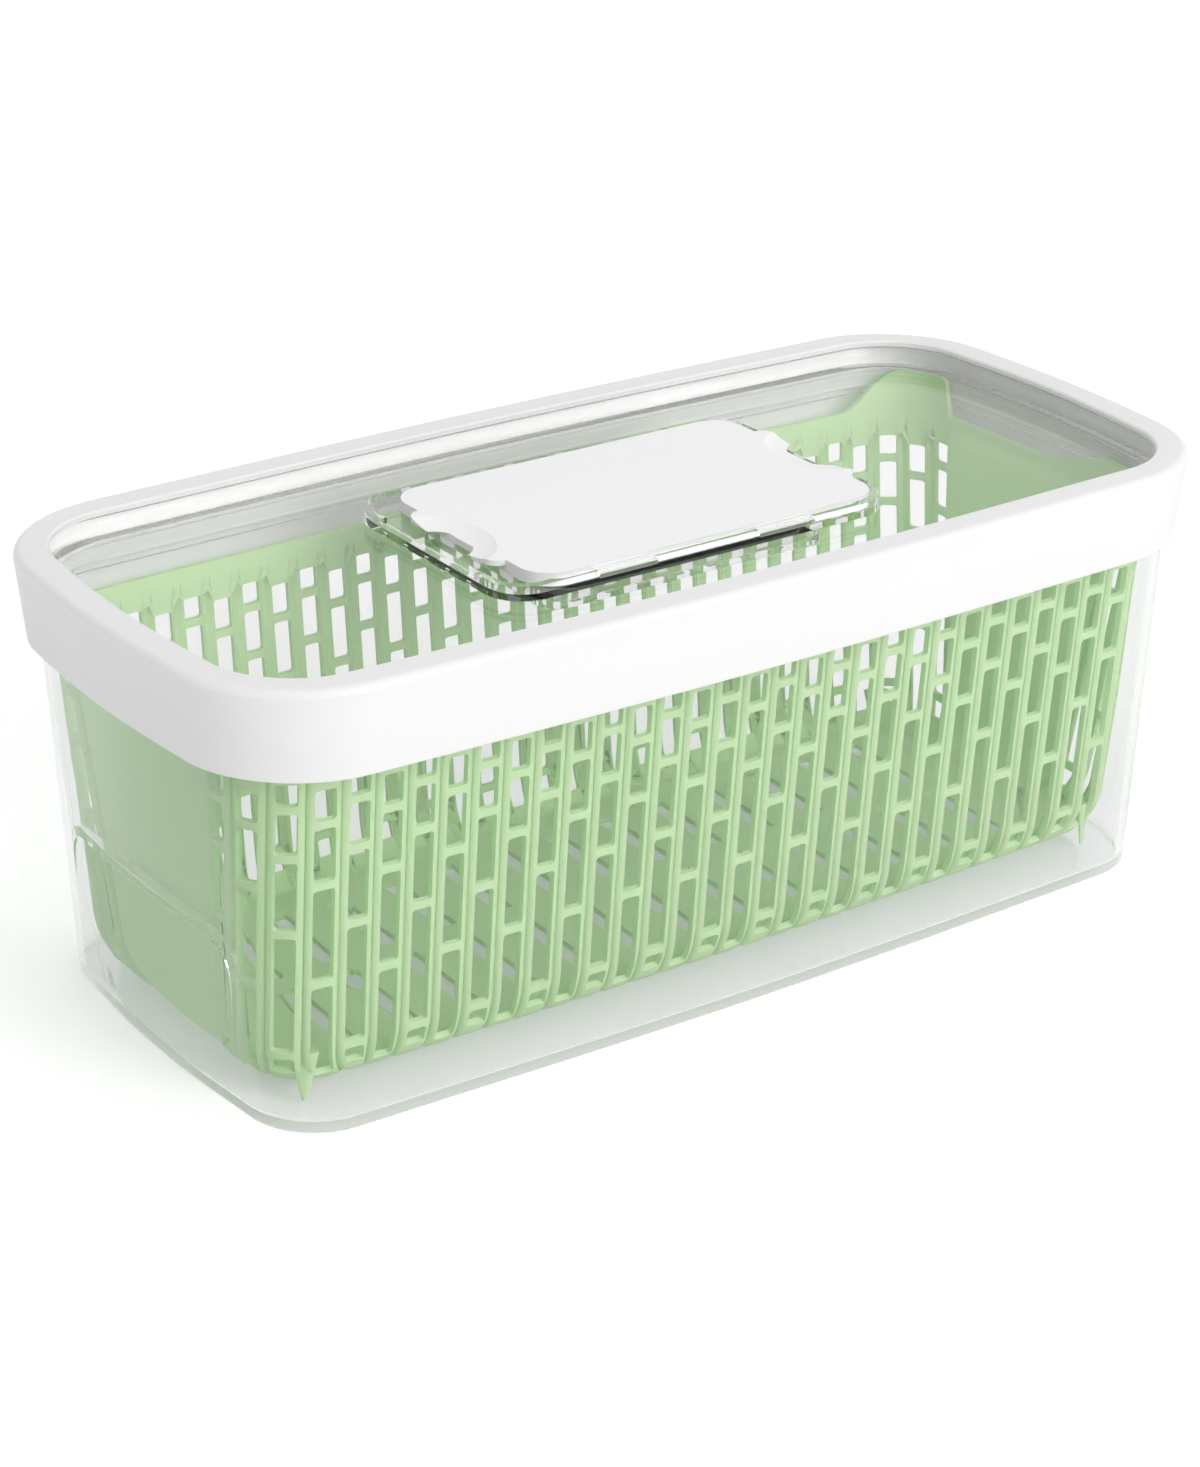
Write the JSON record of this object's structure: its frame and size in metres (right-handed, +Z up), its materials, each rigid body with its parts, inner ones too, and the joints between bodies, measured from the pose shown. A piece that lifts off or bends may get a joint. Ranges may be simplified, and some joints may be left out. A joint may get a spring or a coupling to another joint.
{
  "type": "produce keeper",
  "caption": "Long clear produce keeper with a slotted green basket, a white-rimmed clear lid and a sliding vent cover over a carbon filter.",
  "frame": {"origin": "middle of the tub's flat base, on the surface that it stands on", "axes": "+Z up, +X along the long side, +Y across"},
  "size_m": [0.35, 0.1648, 0.1363],
  "materials": {
    "clear_tub": "clear moulded plastic",
    "clear_lid": "clear moulded plastic",
    "green_basket": "frosted translucent plastic",
    "white_ring": "satin white plastic",
    "white_cover": "satin white plastic",
    "soft_seal": "translucent soft rubber",
    "filter_cloth": "bonded paper-like cloth",
    "carbon": "loose dark granules"
  },
  "bodies": {
    "tub": {"container": "clear_tub"},
    "basket_body": {"basket": "green_basket"},
    "lid": {"lid_ring": "white_ring", "lid_panel": "clear_lid", "lid_seal": "soft_seal"},
    "filter": {"filter_pouch": "filter_cloth", "carbon_bed": "carbon"},
    "housing": {"vent_housing": "clear_lid"},
    "cover": {"vent_cover": "white_cover"}
  },
  "joints": [
    {"name": "basket_lift", "type": "slide", "parent": "tub", "child": "basket_body", "axis": [0, 0, 1], "range_m": [0, 0.15]},
    {"name": "lid_lift", "type": "slide", "parent": "basket_body", "child": "lid", "axis": [0, 0, 1], "range_m": [0, 0.15]},
    {"name": "filter_lift", "type": "slide", "parent": "lid", "child": "filter", "axis": [0, 0, 1], "range_m": [0, 0.04]},
    {"name": "housing_lift", "type": "slide", "parent": "filter", "child": "housing", "axis": [0, 0, 1], "range_m": [0, 0.04]},
    {"name": "cover_slide", "type": "slide", "parent": "housing", "child": "cover", "axis": [-1, 0, 0], "range_m": [0, 0.009]}
  ]
}
